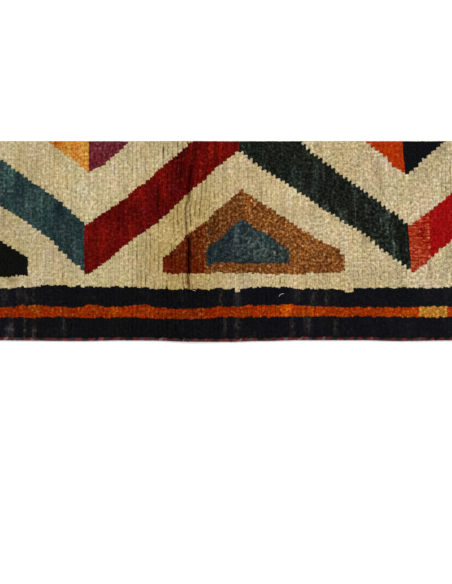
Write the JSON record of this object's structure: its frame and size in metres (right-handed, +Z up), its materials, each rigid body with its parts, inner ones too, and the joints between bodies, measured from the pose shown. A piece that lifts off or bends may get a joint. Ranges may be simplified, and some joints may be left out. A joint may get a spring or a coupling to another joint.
{
  "type": "qashqai rug",
  "caption": "Cut length of a hand-knotted wool pile rug with zigzag bands, a striped border and an overcast side cord, to lie flat on a floor or table.",
  "frame": {"origin": "under the middle of the piece, on the surface that it lies on", "axes": "+X along the overcast selvedge, +Y across the rug away from the selvedge, +Z up out of the pile"},
  "size_m": [0.5014, 0.2152, 0.0107],
  "materials": {
    "ivory_wool": "clipped undyed wool pile, heathered",
    "navy_wool": "clipped blue-black wool pile",
    "orange_wool": "clipped orange wool pile",
    "madder_wool": "clipped madder red wool pile",
    "scarlet_wool": "clipped scarlet wool pile",
    "teal_wool": "clipped teal wool pile",
    "green_wool": "clipped bottle green wool pile",
    "camel_wool": "clipped camel brown wool pile",
    "brick_wool": "clipped brick red wool pile",
    "yellow_wool": "clipped yellow wool pile",
    "purple_wool": "clipped purple wool pile",
    "cord_yarn": "overcast wool yarn, madder and grey"
  },
  "bodies": {
    "root": {"knotted_cloth": "ivory_wool", "side_cord": "cord_yarn"}
  },
  "joints": []
}
